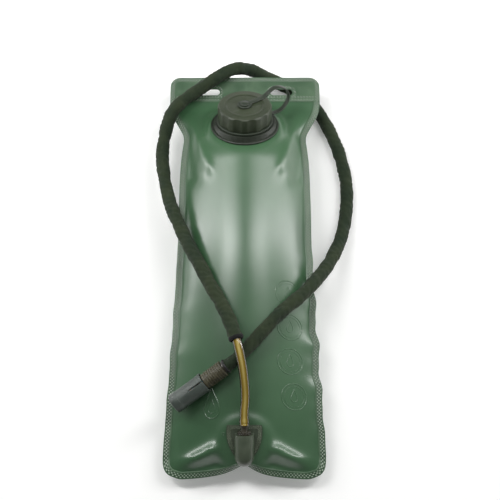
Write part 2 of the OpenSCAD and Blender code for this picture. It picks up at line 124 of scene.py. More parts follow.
def smooth_path(points, step):
    """A curve through the points, cut into even steps."""
    ends = np.vstack([2 * points[0] - points[1], points, 2 * points[-1] - points[-2]])
    dense = []
    for i in range(1, len(ends) - 2):
        a, b, c, d = ends[i - 1], ends[i], ends[i + 1], ends[i + 2]
        for t in np.linspace(0, 1, 12, endpoint=False):
            dense.append(0.5 * (2 * b + (c - a) * t + (2 * a - 5 * b + 4 * c - d) * t ** 2
                                + (3 * b - a - 3 * c + d) * t ** 3))
    return even_steps(np.array(dense + [ends[-2]]), step)[0]


def carried_frames(path):
    """Two directions across the path at each point, carried along without twist."""
    tangents = directions(path)
    across = [np.cross(tangents[0], (0, 0, 1.0))]
    for t in tangents:
        turned = across[-1] - t * (across[-1] @ t)
        across.append(turned / np.linalg.norm(turned))
    across = np.array(across[1:])
    return across, np.cross(tangents, across)


def path_length(path):
    return float(np.linalg.norm(np.diff(path, axis=0), axis=1).sum())


hose_path = smooth_path(route, 2 * MM)
print("hose length", round(path_length(hose_path), 3), "m")

# %% [markdown]
# ## The film's shape
#
# The bag is two flat films welded along their edges, then filled. A flat film can't stretch,
# so where the filling lifts it the side welds are drawn in: a wide seam means a flat bag, a
# narrow seam a round one. One small table of stations says how far the seam is drawn in and
# how high it lies, and the height of the film follows from the film's own width. The film is
# held flat under the fill port and under the outlet, because those are stiff mouldings.

# %% Sizes of the bag
FILM_W = 162 * MM
SEAM_W = 7 * MM
FILM_T = 0.5 * MM
HEADER_Y = 200 * MM
FOOT_Y = -224 * MM
HEADER_H = 31 * MM
WELD_CORNER = 13 * MM
PORT = np.array((0, 158.991, 54.5272)) * MM
PORT_TILT = math.radians(30)
FLANGE_R = 38 * MM
OUTLET = np.array((0, -194, 38.7977)) * MM
OUTLET_TILT = math.radians(22.6199)
# share of the length from the header, share of the film's half width, height in millimetres
SEAM_LINE = np.array([[0, 0.98, 32], [0.03, 0.97, 32], [0.11, 0.75, 37], [0.16, 0.79, 38],
                      [0.22, 0.815, 38], [0.45, 0.82, 37], [0.64, 0.87, 32], [0.82, 0.925, 26],
                      [0.94, 0.97, 19.5], [1, 0.98, 16]])


def smooth_table():
    """The stations as a smooth curve. It is tight near the header and relaxed below."""
    at = np.linspace(-0.3, 1.3, 641)
    low, high = SEAM_LINE[:, 0], SEAM_LINE[:, 1:]
    values = np.stack([np.interp(at, low, high[:, k]) for k in (0, 1)], 1)
    foot = at > 1
    values[foot] += (at[foot] - 1)[:, None] * (high[-1] - high[-2]) / (low[-1] - low[-2])
    spread = 0.014 + 0.05 * np.clip((at - 0.14) / 0.2, 0, 1)
    weight = np.exp(-(((at[None, :] - at[:, None]) / spread[:, None]) ** 2) / 2)
    return np.column_stack([at, weight @ values / weight.sum(1)[:, None]])


SEAM_CURVE = smooth_table()


def eased(share, column):
    """A column of the stations' table at a share of the length."""
    return np.interp(share, SEAM_CURVE[:, 0], SEAM_CURVE[:, column])


def bump(x, middle, spread):
    return np.exp(-((x - middle) / spread) ** 2)


def place_along(share):
    return HEADER_Y + (FOOT_Y - HEADER_Y) * share


def half_width(share):
    """From the bag's middle to the inner line of a side weld, without its puckers."""
    from_foot = np.clip(WELD_CORNER - (place_along(share) - FOOT_Y), 0, WELD_CORNER)
    corner = WELD_CORNER - np.sqrt(WELD_CORNER ** 2 - from_foot ** 2)
    return FILM_W / 2 * eased(share, 1) - corner


def puckers(share, side):
    """How far a side weld waves. The right one puckers more, over its lower half."""
    y = place_along(share)
    wave = np.sin(y / (7.6 * MM) + side) + 0.5 * np.sin(y / (3.7 * MM))
    return np.where(side > 0, 1.5, 0.5) * MM * bump(share, 0.68, 0.2) * wave


def notch(x):
    """How much the outlet draws up the foot weld: 1 in the middle, fading to the corners."""
    return 1 / (1 + np.abs(x / (23 * MM)) ** 1.3)


def foot_share(share):
    return np.clip((share - 0.93) / 0.07, 0, 1) ** 2


def seam_height(share, x):
    return eased(share, 2) * MM + 15 * MM * notch(x) * foot_share(share)


def near(x, y, spot, tilt, radius, fade):
    """1 within a fitting's radius, fading to 0."""
    away = np.hypot(x - spot[0], (y - spot[1]) / math.cos(tilt))
    s = np.clip((radius + fade - away) / fade, 0, 1)
    return s * s * (3 - 2 * s)


def ridge(x, y, start, end, spread):
    """A crease from start to end, highest along its line."""
    a, b = np.array(start) * MM, np.array(end) * MM
    way = (b - a) / np.linalg.norm(b - a)
    along = ((x - a[0]) * way[0] + (y - a[1]) * way[1]) / np.linalg.norm(b - a)
    off = (x - a[0]) * way[1] - (y - a[1]) * way[0]
    return bump(off, 0, spread * MM) * bump(np.clip(np.abs(along - 0.5) - 0.35, 0, 9), 0, 0.16)


# height, the two ends on the right half and the spread, in millimetres: three creases at an
# upper corner, then the ridge and the hollow between the outlet and a lower corner
CREASES = [(3.6, (62, 170), (38, 96), 5), (-4.5, (74, 158), (56, 90), 8),
           (-2.5, (50, 182), (40, 150), 5), (8.0, (16, -194), (82, -229), 8),
           (-5.0, (24, -214), (70, -230), 6)]


def folds(x, y):
    """The creases that the drawn-in corners and the outlet leave in the front film."""
    height = np.zeros_like(x)
    for side in (-1, 1):
        for rise, start, end, spread in CREASES:
            height += rise * ridge(x * side, y, start, end, spread)
    return height * MM


def film_points(across, share, front):
    """The bag's surface over a grid: across runs from -1 to 1 between the side welds."""
    drawn = np.clip(FILM_W / 2 * eased(share, 1), 1 * MM, FILM_W / 2 - 0.01 * MM)
    bow = np.sqrt(0.375 * 2 * drawn * (FILM_W - 2 * drawn))
    top_len = 0.21 if front else 0.16
    foot_len = 0.034 + (0.024 * bump(np.abs(across), 0.40, 0.2) if front else 0.04)
    rise = bow * np.sin(math.pi / 2 * np.clip(share / top_len, 0, 1)) ** 1.5
    rise = rise * np.clip((1 - share) / foot_len, 0, 1)
    rise = np.maximum(rise, 0.05 * MM)
    turn = 2 * np.arctan(rise / drawn)
    r = drawn / np.sin(turn)
    spread = np.sin(across * turn) / np.sin(turn)
    x = spread * half_width(share) + puckers(share, np.sign(across)) * np.abs(spread) ** 8
    up = r * np.cos(across * turn) - r * np.cos(turn)
    y = place_along(share) + 12 * MM * notch(x) * foot_share(share)
    z = seam_height(share, x) + (up if front else -up)
    if not front:
        return np.stack([x, y, np.maximum(z, FILM_T)], -1)
    z = z + folds(x, y) * np.clip(up / (8 * MM), 0, 1)
    z = hold_flat(x, y, z, PORT, -PORT_TILT, FLANGE_R + 2 * MM, 7.3 * MM)
    z = hold_flat(x, y, z, OUTLET, OUTLET_TILT, 22 * MM, 14 * MM)
    return np.stack([x, y, z], -1)


def hold_flat(x, y, z, spot, slope, radius, fade):
    share = near(x, y, spot, slope, radius, fade)
    return z * (1 - share) + (spot[2] + (y - spot[1]) * math.tan(slope) - FILM_T) * share


print("film", FILM_W, "m wide and", HEADER_Y - FOOT_Y, "m between its end welds")


# %% [markdown]
# ## Filling the bag
#
# A formula alone looks like plastic foam. Real film puckers where it is held and swells where
# it is free, which is what cloth simulation is for. The closed bag starts in its filled shape,
# with the flat films kept as a shape key that gives every edge its true length. The welds,
# the fill port and the outlet are pinned, and pressure inside does the rest. The result is
# kept within a few millimetres of the working model's shape.

# %% The simulated bag
COLUMNS, ROWS = 40, 108
FLAT_LENGTH = 437 * MM
MOST_SWELL = 3 * MM


def grid_shares():
    across = np.linspace(-1, 1, COLUMNS + 1)[None, :] + np.zeros((ROWS + 1, 1))
    share = np.linspace(0, 1, ROWS + 1)[:, None] + np.zeros((1, COLUMNS + 1))
    return across, share


def bag_grids():
    """Vertex numbers of the front and the back film. The two share the welds' vertices."""
    front = np.arange((ROWS + 1) * (COLUMNS + 1)).reshape(ROWS + 1, COLUMNS + 1)
    back = front.copy()
    inner = (ROWS - 1) * (COLUMNS - 1)
    back[1:-1, 1:-1] = front.size + np.arange(inner).reshape(ROWS - 1, COLUMNS - 1)
    return front, back


def quads(grid, flip=False):
    a, b, c, d = grid[:-1, :-1], grid[:-1, 1:], grid[1:, 1:], grid[1:, :-1]
    order = (a, b, c, d) if flip else (a, d, c, b)
    return np.stack([g.ravel() for g in order], 1).tolist()


def held_vertices(points):
    port = np.hypot(points[:, 0] - PORT[0], (points[:, 1] - PORT[1]) / math.cos(PORT_TILT))
    outlet = np.hypot(points[:, 0], points[:, 1] - OUTLET[1])
    return (port < FLANGE_R + 2 * MM) | (outlet < 21 * MM)


def fill_bag(start, flat, faces, welds):
    """Runs the cloth simulation and returns where each vertex came to."""
    mesh = bpy.data.meshes.new("bag")
    mesh.from_pydata(start.tolist(), [], faces)
    bag = add_object("bag", mesh)
    bag.shape_key_add(name="filled")
    cut = bag.shape_key_add(name="flat")
    cut.data.foreach_set("co", flat.ravel())
    pins = bag.vertex_groups.new(name="pins")
    front_held = np.flatnonzero(held_vertices(start[:(ROWS + 1) * (COLUMNS + 1)]))
    pins.add([int(k) for k in np.union1d(welds, front_held)], 1.0, "REPLACE")
    cloth = bag.modifiers.new("cloth", "CLOTH")
    film = cloth.settings
    film.quality = 6
    film.mass = 0.3
    film.tension_stiffness = 60
    film.compression_stiffness = 1.5
    film.shear_stiffness = 4
    film.bending_stiffness = 0.5
    film.air_damping = 1
    film.use_pressure = True
    film.uniform_pressure_force = 3
    film.vertex_group_mass = "pins"
    film.rest_shape_key = cut
    film.effector_weights.gravity = 0
    cloth.point_cache.frame_end = 40
    for step in range(1, 41):
        bpy.context.scene.frame_set(step)
    settled = bag.evaluated_get(bpy.context.evaluated_depsgraph_get())
    found = np.zeros(len(start) * 3)
    settled.data.vertices.foreach_get("co", found)
    bpy.data.objects.remove(bag)
    bpy.context.scene.frame_set(1)
    return found.reshape(-1, 3)


def bag_points():
    """The welded pair of films as filled: points of the front grid and of the back grid."""
    across, share = grid_shares()
    front, back = bag_grids()
    start = np.zeros((back.max() + 1, 3))
    start[back] = film_points(across, share, False)
    start[front] = film_points(across, share, True)
    flat = np.zeros_like(start)
    rest = np.stack([across * FILM_W / 2, HEADER_Y - share * FLAT_LENGTH, 0 * share], -1)
    flat[back] = rest - (0, 0, 0.2 * MM)
    flat[front] = rest
    rim = np.ones_like(front, bool)
    rim[1:-1, 1:-1] = False
    found = fill_bag(start, flat, quads(front) + quads(back, True), front[rim])
    moved = found - start
    size = np.linalg.norm(moved, axis=1)[:, None] + 1e-9
    moved = moved * (MOST_SWELL * np.tanh(size / MOST_SWELL) / size)
    moved[front] = calm_middle(moved[front], across)
    start = start + moved
    print("film moved, mean and most, mm", size.mean() / MM, size.max() / MM)
    start[:, 2] = np.maximum(start[:, 2], FILM_T)
    return start[front], start[back]


def calm_middle(moved, across):
    """Evens out the puckers in the middle, where the filling holds the film tight."""
    even = moved.copy()
    for _ in range(500):
        even[1:-1] = (even[:-2] + 2 * even[1:-1] + even[2:]) / 4
        even[:, 1:-1] = (even[:, :-2] + 126 * even[:, 1:-1] + even[:, 2:]) / 128
    share = np.clip(1.3 - np.abs(across) ** 6 * 1.3, 0, 1)[..., None]
    return moved * (1 - share) + even * share


front_grid, back_grid = bag_points()

# %% [markdown]
# ## Materials
#
# Most surfaces here are moulded or welded plastic, which looks flat and false in one even
# colour. Three effects are shared, so each is a node group: a cloudy tint with fine grain,
# scuffs that catch the light, and a woven cloth. A group hands out only colours, masks and
# heights. Each material keeps its own shader, with its even values set on the shader itself.

# %% Shared effects
def new_group(name, inputs, outputs):
    group = bpy.data.node_groups.new(name, "ShaderNodeTree")
    for label, kind, value in inputs:
        socket = group.interface.new_socket(label, in_out="INPUT", socket_type="NodeSocket" + kind)
        socket.default_value = value
    for label, kind in outputs:
        group.interface.new_socket(label, in_out="OUTPUT", socket_type="NodeSocket" + kind)
    return group, group.nodes.new("NodeGroupInput"), group.nodes.new("NodeGroupOutput")


def add_node(tree, kind, links=(), **values):
    """A node with its settings, its inputs' values and its links."""
    node = tree.nodes.new("ShaderNode" + kind)
    for name, value in values.items():
        if hasattr(node, name):
            setattr(node, name, value)
        else:
            node.inputs[name.replace("_", " ")].default_value = value
    for name, source in links:
        tree.links.new(source, node.inputs[name])
    return node


def mixed(tree, share, first, second):
    """One colour mixed into another. Each is a node's output or a plain colour."""
    mix = add_node(tree, "Mix", data_type="RGBA")
    tree.links.new(share, mix.inputs[0])
    for spot, colour in ((6, first), (7, second)):
        if isinstance(colour, tuple):
            mix.inputs[spot].default_value = (*colour, 1)
        else:
            tree.links.new(colour, mix.inputs[spot])
    return mix.outputs[2]


def calculated(tree, operation, first, second=None):
    node = add_node(tree, "Math", operation=operation)
    tree.links.new(first, node.inputs[0])
    if isinstance(second, float):
        node.inputs[1].default_value = second
    elif second is not None:
        tree.links.new(second, node.inputs[1])
    return node.outputs[0]


def feed(tree, node, **sources):
    """Links each named input of a node to its source."""
    for label, source in sources.items():
        tree.links.new(source, node.inputs[label.replace("_", " ")])


def grain_group():
    group, given, out = new_group(
        "cloudy grain",
        [("Dark", "Color", (0.1, 0.1, 0.1, 1)), ("Light", "Color", (0.2, 0.2, 0.2, 1)),
         ("Cloud Scale", "Float", 20), ("Grain Scale", "Float", 900),
         ("Rough Low", "Float", 0.3), ("Rough High", "Float", 0.45)],
        [("Color", "Color"), ("Roughness", "Float"), ("Height", "Float")])
    place = add_node(group, "TexCoord")
    cloud = add_node(group, "TexNoise", [("Vector", place.outputs["Object"]),
                                         ("Scale", given.outputs["Cloud Scale"])], Detail=4)
    grain = add_node(group, "TexNoise", [("Vector", place.outputs["Object"]),
                                         ("Scale", given.outputs["Grain Scale"])], Detail=2)
    spread = add_node(group, "MapRange", [("Value", cloud.outputs["Fac"])],
                      From_Min=0.35, From_Max=0.65)
    tint = mixed(group, spread.outputs[0], given.outputs["Dark"], given.outputs["Light"])
    rough = add_node(group, "Mix", [("Factor", spread.outputs[0])])
    group.links.new(given.outputs["Rough Low"], rough.inputs[2])
    group.links.new(given.outputs["Rough High"], rough.inputs[3])
    feed(group, out, Color=tint, Roughness=rough.outputs[0], Height=grain.outputs["Fac"])
    return group


def scuff_group():
    group, given, out = new_group(
        "scuffs", [("Scale", "Float", 60), ("Amount", "Float", 0.5)], [("Mask", "Float")])
    place = add_node(group, "TexCoord")
    drawn = add_node(group, "Mapping", [("Vector", place.outputs["Object"])],
                     Scale=(1, 0.12, 1), Rotation=(0, 0, 0.5))
    lines = add_node(group, "TexNoise", [("Vector", drawn.outputs[0]),
                                         ("Scale", given.outputs["Scale"])], Detail=6)
    thin = add_node(group, "MapRange", [("Value", lines.outputs["Fac"])],
                    From_Min=0.6, From_Max=0.72)
    feed(group, out, Mask=calculated(group, "MULTIPLY", thin.outputs[0],
                                     given.outputs["Amount"]))
    return group


def weave_group():
    """Two sets of yarns that pass over each other, on the piece's own UV map."""
    group, given, out = new_group(
        "plain weave", [("Yarns per Metre", "Float", 1400)],
        [("Height", "Float"), ("Gap", "Float")])
    place = add_node(group, "UVMap", uv_map="along")
    split = add_node(group, "SeparateXYZ", [("Vector", place.outputs[0])])
    waves = []
    for axis in (0, 1):
        step = calculated(group, "MULTIPLY", split.outputs[axis], given.outputs[0])
        waves.append(calculated(group, "SINE", calculated(group, "MULTIPLY", step, math.pi)))
    both = calculated(group, "MULTIPLY", *waves)
    level = add_node(group, "MapRange", [("Value", both)], From_Min=-1, From_Max=1)
    feed(group, out, Height=level.outputs[0], Gap=calculated(group, "ABSOLUTE", both))
    return group


GRAIN, SCUFFS, WEAVE = grain_group(), scuff_group(), weave_group()
print("shared effects:", [group.name for group in (GRAIN, SCUFFS, WEAVE)])

# %% [markdown]
# ## One material for each finish
#
# The bladder is a handful of plastics, a rubber and a cloth. Most are made by one function
# with a dark and a light shade, so a finish is a short line of values. The tube, the cloth
# and the pressed welds need something of their own, and each has its own function.

# %% The materials


def material(name, **values):
    made = bpy.data.materials.new(name)
    made.use_nodes = True
    shader = made.node_tree.nodes["Principled BSDF"]
    for label, value in values.items():
        shader.inputs[label.replace("_", " ")].default_value = value
    return made, made.node_tree, shader


def placed(tree, group, **values):
    node = tree.nodes.new("ShaderNodeGroup")
    node.node_tree = group
    for label, value in values.items():
        node.inputs[label.replace("_", " ")].default_value = value
    return node


def grained(name, dark, light, cloud, rough, grain=2600, relief=0.05, scuffed=0.2, **values):
    """Moulded or welded plastic: cloudy colour, fine grain and a few light scuffs."""
    made, tree, shader = material(name, **values)
    grain_node = placed(tree, GRAIN, Dark=(*dark, 1), Light=(*light, 1), Cloud_Scale=cloud,
                        Grain_Scale=grain, Rough_Low=rough[0], Rough_High=rough[1])
    scuffs = placed(tree, SCUFFS, Amount=scuffed)
    worn = mixed(tree, scuffs.outputs[0], grain_node.outputs["Color"],
                 tuple(min(1, c * 1.7 + 0.02) for c in light))
    raised = add_node(tree, "Bump", [("Height", grain_node.outputs["Height"])],
                      Strength=relief * 10, Distance=0.0002)
    feed(tree, shader, Base_Color=worn, Roughness=grain_node.outputs["Roughness"],
         Normal=raised.outputs[0])
    return made


film = grained("film", (0.034, 0.092, 0.040), (0.052, 0.125, 0.058), 9, (0.29, 0.35),
               grain=1500, relief=0.01, scuffed=0.05, Coat_Weight=0.3, Coat_Roughness=0.25,
               Specular_IOR_Level=0.7)
weld_film = grained("weld film", (0.046, 0.096, 0.050), (0.07, 0.13, 0.07), 60, (0.32, 0.45),
                    grain=1500, relief=0.02, Coat_Weight=0.2, Coat_Roughness=0.25)
moulded = grained("olive moulding", (0.030, 0.040, 0.021), (0.040, 0.052, 0.028), 40,
                  (0.40, 0.52), relief=0.08, scuffed=0.25)
collar_moulding = grained("flange moulding", (0.008, 0.012, 0.006), (0.014, 0.020, 0.011), 40,
                          (0.42, 0.52), scuffed=0.1)
tether_moulding = grained("tether moulding", (0.020, 0.029, 0.018), (0.028, 0.038, 0.024), 70,
                          (0.36, 0.48))
outlet_moulding = grained("outlet moulding", (0.040, 0.055, 0.034), (0.058, 0.075, 0.048), 60,
                          (0.26, 0.40), scuffed=0.3, Coat_Weight=0.2, Coat_Roughness=0.2)
# The studs are painted paler than the patch under them, a painted highlight on the raised studs,
# with the usual scuffs.
studs_painted_pale = grained("studs painted pale", (0.12, 0.15, 0.10), (0.22, 0.26, 0.19), 90, (0.35, 0.45),
                     relief=0.03)
nozzle_plastic = grained("nozzle plastic", (0.022, 0.020, 0.014), (0.040, 0.036, 0.024), 90,
                         (0.22, 0.34), grain=3000, relief=0.03)
seal_rubber = grained("seal rubber", (0.010, 0.010, 0.010), (0.018, 0.018, 0.018), 90,
                      (0.5, 0.65), grain=3000, relief=0.1, scuffed=0.1)
collar_rubber = grained("collar rubber", (0.040, 0.036, 0.018), (0.085, 0.078, 0.045), 160,
                        (0.36, 0.50), grain=2400, relief=0.1, scuffed=0.5)
cover_plastic = grained("cover plastic", (0.042, 0.054, 0.046), (0.062, 0.078, 0.067), 70,
                        (0.32, 0.44), relief=0.08, scuffed=0.4)
mouth_silicone = grained("mouthpiece silicone", (0.20, 0.21, 0.19), (0.26, 0.27, 0.24), 80,
                         (0.35, 0.45), grain=1800, relief=0.03, scuffed=0.0,
                         Subsurface_Weight=0.3, Subsurface_Scale=0.002)


def amber_plastic():
    """Dyed amber tube, painted palest where the wall faces the eye (a painted highlight) and darker
    toward its edges (painted shade).
    """
    made, tree, shader = material("amber tube", IOR=1.4, Transmission_Weight=0.12,
                                  Specular_IOR_Level=0.3, Coat_Weight=0.1)
    # How squarely the wall faces the eye drives the colour: a painted highlight in the middle of
    # the tube, painted shade toward its edges.
    depth = add_node(tree, "LayerWeight", Blend=0.5).outputs["Facing"]
    colour = None
    for low, high, shade in ((0, 0.08, (0.22, 0.15, 0.020)), (0.12, 0.42, (0.022, 0.016, 0.005))):
        share = add_node(tree, "MapRange", [("Value", depth)], From_Min=low, From_Max=high)
        tint = add_node(tree, "Mix", data_type="RGBA")
        tree.links.new(share.outputs[0], tint.inputs[0])
        if colour is None:
            tint.inputs[6].default_value = (0.50, 0.41, 0.14, 1)
        else:
            tree.links.new(colour, tint.inputs[6])
        tint.inputs[7].default_value = (*shade, 1)
        colour = tint.outputs[2]
    tree.links.new(colour, shader.inputs["Base Color"])
    waves = add_node(tree, "TexNoise", [("Vector", add_node(tree, "TexCoord").outputs["Object"])],
                     Scale=120, Detail=2)
    rough = add_node(tree, "MapRange", [("Value", waves.outputs["Fac"])], To_Min=0.03, To_Max=0.10)
    raised = add_node(tree, "Bump", [("Height", waves.outputs["Fac"])], Strength=0.15,
                      Distance=0.0003)
    feed(tree, shader, Roughness=rough.outputs[0], Normal=raised.outputs[0])
    return made


def cloth(name, dark, light, yarns):
    """Woven sleeve fabric, a little brown where it is rubbed, with painted shade between the yarns
    and a painted highlight on their tops.
    """
    made, tree, shader = material(name, Sheen_Weight=0.06, Sheen_Roughness=0.5,
                                  Specular_IOR_Level=0.2)
    tint = placed(tree, GRAIN, Dark=(*dark, 1), Light=(*light, 1), Cloud_Scale=45,
                  Grain_Scale=1200, Rough_Low=0.75, Rough_High=0.92)
    weave = placed(tree, WEAVE, Yarns_per_Metre=yarns)
    # The weave's gap mask scales the colour: painted shade between the yarns, a painted highlight
    # on their tops.
    shade = add_node(tree, "MapRange", [("Value", weave.outputs["Gap"])], To_Min=0.62, To_Max=1.15)
    dyed = add_node(tree, "VectorMath", operation="SCALE")
    tree.links.new(tint.outputs["Color"], dyed.inputs[0])
    tree.links.new(shade.outputs[0], dyed.inputs["Scale"])
    raised = add_node(tree, "Bump", [("Height", weave.outputs["Height"])], Strength=0.6,
                      Distance=0.0004)
    feed(tree, shader, Base_Color=dyed.outputs[0], Roughness=tint.outputs["Roughness"],
         Normal=raised.outputs[0])
    return made


def pressed(base, pale, deep):
    """Film pressed by a knurled bar: the raised diamonds are painted pale, a painted highlight, and
    the valleys dark, painted shade.
    """
    tree = base.node_tree
    raised = add_node(tree, "Attribute", attribute_name="raised")
    shader = tree.nodes["Principled BSDF"]
    colour = shader.inputs["Base Color"].links[0].from_socket
    # Pale on the diamonds is a painted highlight; dark in the valleys is painted shade.
    for low, high, shade in ((0, 1, pale), (0, -0.5, deep)):
        share = add_node(tree, "MapRange", [("Value", raised.outputs["Fac"])],
                         From_Min=low, From_Max=high)
        colour = mixed(tree, share.outputs[0], colour, shade)
    feed(tree, shader, Base_Color=colour)
    return base


amber = amber_plastic()
# The pale colour is a painted highlight on the raised diamonds, the dark one painted shade in the
# valleys.
weld_film = pressed(weld_film, (0.36, 0.43, 0.34), (0.018, 0.044, 0.022))
sleeve_cloth = cloth("sleeve cloth", (0.018, 0.032, 0.016), (0.036, 0.050, 0.025), 1300)
hem_cloth = cloth("hem binding", (0.008, 0.008, 0.008), (0.016, 0.016, 0.016), 1500)
print(len(bpy.data.materials), "materials")

# %% [markdown]
# ## The two films
#
# The simulated grids become two sheets. A subdivision surface rounds them, as film is round
# everywhere between its welds.

# %% Front and back film


def dress(piece, surface):
    """Gives the whole of a piece one material."""
    for spot in range(len(piece.data.materials)):
        piece.data.materials[spot] = surface
    if not piece.data.materials:
        piece.data.materials.append(surface)


def finish_piece(piece, body, surface, replaces=()):
    dress(piece, surface)
    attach(piece, body)
    if replaces:
        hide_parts(*replaces)
    return piece


def new_piece(name, points, faces):
    mesh = bpy.data.meshes.new(name)
    mesh.from_pydata(np.reshape(points, (-1, 3)).tolist(), [], faces)
    mesh.shade_smooth()
    return add_object(name, mesh)


def mark_raised(piece, raised):
    """Keeps how each point stands, from -0.5 in a valley to 1 on a diamond, for the material's
    painted highlight and painted shade.
    """
    layer = piece.data.attributes.new("raised", "FLOAT", "POINT")
    layer.data.foreach_set("value", np.ravel(raised).astype(np.float32))


def pick(piece):
    """Selects one piece alone and makes it active, as Blender's operators need."""
    bpy.ops.object.select_all(action="DESELECT")
    piece.select_set(True)
    bpy.context.view_layer.objects.active = piece


def face_outward(piece):
    pick(piece)
    bpy.ops.object.mode_set(mode="EDIT")
    bpy.ops.mesh.select_all(action="SELECT")
    bpy.ops.mesh.normals_make_consistent(inside=False)
    bpy.ops.object.mode_set(mode="OBJECT")


def apply_modifier(piece, kind, **values):
    """Adds a modifier with its settings and applies it."""
    pick(piece)
    modifier = piece.modifiers.new(kind.lower(), kind)
    for label, value in values.items():
        setattr(modifier, label, value)
    bpy.ops.object.modifier_apply(modifier=modifier.name)


def grid_numbers(points):
    return np.arange(points.shape[0] * points.shape[1]).reshape(points.shape[:2])


def keep_clear(points, line, clearance):
    """Presses the film away where it would come nearer to a line than it may."""
    for spot in line:
        away = points - spot
        distance = np.linalg.norm(away, axis=-1, keepdims=True)
        points = np.where(distance < clearance, spot + away / distance * clearance, points)
    return points


def open_mouth(piece, radius):
    """Deletes the film inside the fill port's neck."""
    axis = np.array((0, math.sin(PORT_TILT), math.cos(PORT_TILT)))
    mesh = bmesh.new()
    mesh.from_mesh(piece.data)
    inside = []
    for face in mesh.faces:
        away = np.array(face.calc_center_median()) - PORT
        if np.linalg.norm(away - axis * (away @ axis)) < radius and away[2] > -0.04:
            inside.append(face)
    bmesh.ops.delete(mesh, geom=inside, context="FACES")
    mesh.to_mesh(piece.data)
    mesh.free()


SLEEVE_ROOM, VALVE_ROOM, MOUTH_R = 8.4 * MM, 11.3 * MM, 24 * MM
VALVE = route[-1]
VALVE_AXIS = (route[-1] - route[-2]) / np.linalg.norm(route[-1] - route[-2])
valve_line = VALVE + np.linspace(0, 70 * MM, 36)[:, None] * VALVE_AXIS
front_grid = keep_clear(front_grid, hose_path[::3], SLEEVE_ROOM)
front_grid = keep_clear(front_grid, valve_line, VALVE_ROOM)
front = new_piece("reservoir_front", front_grid, quads(grid_numbers(front_grid)))
apply_modifier(front, "SUBSURF", levels=2, render_levels=2)
open_mouth(front, MOUTH_R)
finish_piece(front, "root", film, ["front_film"])
back = new_piece("reservoir_back", back_grid, quads(grid_numbers(back_grid), True))
apply_modifier(back, "SUBSURF", levels=1, render_levels=1)
finish_piece(back, "root", film, ["back_film"])
film_surface = BVHTree.FromObject(front, bpy.context.evaluated_depsgraph_get())
print("front film", len(front.data.polygons), "faces")

# %% [markdown]
# ## The welded seam
#
# Outside the weld the two films lie on each other as a narrow flange, pressed with a knurled
# tool. The knurl is real relief: a fine strip is laid along the weld's line and raised in a
# diamond pattern. Below the outlet the flange folds down with the notch.

# %% Flange with its knurl
KNURL = 3.4 * MM
STRIP_STEP = 0.55 * MM


def knurl(along, over, height=0.42 * MM):
    """Rows of small raised diamonds."""
    wave = np.sin(math.pi * (along + over) / KNURL) * np.sin(math.pi * (along - over) / KNURL)
    return height * np.clip(np.abs(wave) * 1.6 - 0.35, 0, 1)


def band(value, low, high, soft=0.5 * MM):
    """1 between low and high, with soft edges."""
    return np.clip((value - low) / soft, 0, 1) * np.clip((high - value) / soft, 0, 1)


def capped_bar(name, rings):
    """A solid bar from rings of points, with a face over each end."""
    numbers = grid_numbers(rings)
    numbers = np.concatenate([numbers, numbers[:, :1]], 1)
    ends = [numbers[0, :-1].tolist(), numbers[-1, -2::-1].tolist()]
    return new_piece(name, rings, quads(numbers) + ends)


def weld_line():
    """The weld's line from the header, down the left side, along the foot and up the right."""
    line = np.vstack([front_grid[:, 0], front_grid[-1, 1:-1], front_grid[::-1, -1]])
    line[:, 2] = seam_z_of_line(line)
    line, even = even_steps(line, STRIP_STEP)
    soft = np.ones(9) / 9
    for k in range(3):
        line[4:-4, k] = np.convolve(line[:, k], soft, "valid")
    return line, even


def seam_z_of_line(line):
    share = np.clip((HEADER_Y - line[:, 1]) / (HEADER_Y - FOOT_Y), 0, 1)
    foot = np.clip((FOOT_Y + 16 * MM - line[:, 1]) / (16 * MM), 0, 1)
    return np.where(foot > 0, line[:, 2], eased(share, 2) * MM)


def flange():
    line, along = weld_line()
    tangent = np.gradient(line, axis=0)
    outward = np.stack([tangent[:, 1], -tangent[:, 0], 0 * along], 1)
    width = 25
    for k in (0, 1):
        outward[width:-width, k] = np.convolve(outward[:, k], np.ones(2 * width + 1), "valid")
    outward /= np.linalg.norm(outward, axis=1)[:, None]
    at_foot = np.clip((FOOT_Y + 20 * MM - line[:, 1]) / (20 * MM), 0, 1)
    droop = math.radians(78) * notch(line[:, 0]) * np.clip(at_foot * 3, 0, 1)
    droop += np.radians(9) * np.sin(along / (23 * MM)) * np.sin(along / (61 * MM))
    way = outward * np.cos(droop)[:, None] - np.outer(np.sin(droop), (0, 0, 1))
    normal = outward * np.sin(droop)[:, None] + np.outer(np.cos(droop), (0, 0, 1))
    over = np.linspace(-0.8 * MM, SEAM_W, 15)
    inside = band(over, 0.8 * MM, 6.4 * MM, 1 * MM)
    relief = knurl(along[:, None], over[None, :]) * inside
    bead = 0.35 * MM * bump(over, 0.2 * MM, 0.7 * MM)
    height = relief + bead[None, :] + 0.4 * MM
    rows = line[:, None] + way[:, None] * over[None, :, None]
    top = rows + normal[:, None] * height[..., None]
    under = rows - normal[:, None] * height[..., None]
    # This relief mask drives the painted highlight on the diamonds and the painted shade in the
    # valleys.
    raised = (1.5 * relief / relief.max() - 0.5) * inside
    return np.concatenate([top, under[:, ::-1]], 1), np.concatenate([raised, 0 * raised], 1)


seam_points, seam_raised = flange()
seam = capped_bar("welded_seam", seam_points)
mark_raised(seam, seam_raised)
face_outward(seam)
finish_piece(seam, "root", weld_film)
print("welded seam", len(seam.data.polygons), "faces")

# %% [markdown]
# ## The hanging strip
#
# Above the top weld both films and a stiffener are welded into one strip with two slots. It
# is made as a fine grid, so that the knurled border, the two weld lines and the rings round
# the slots are real relief. The grid gets a thickness, and the slots are cut through it.

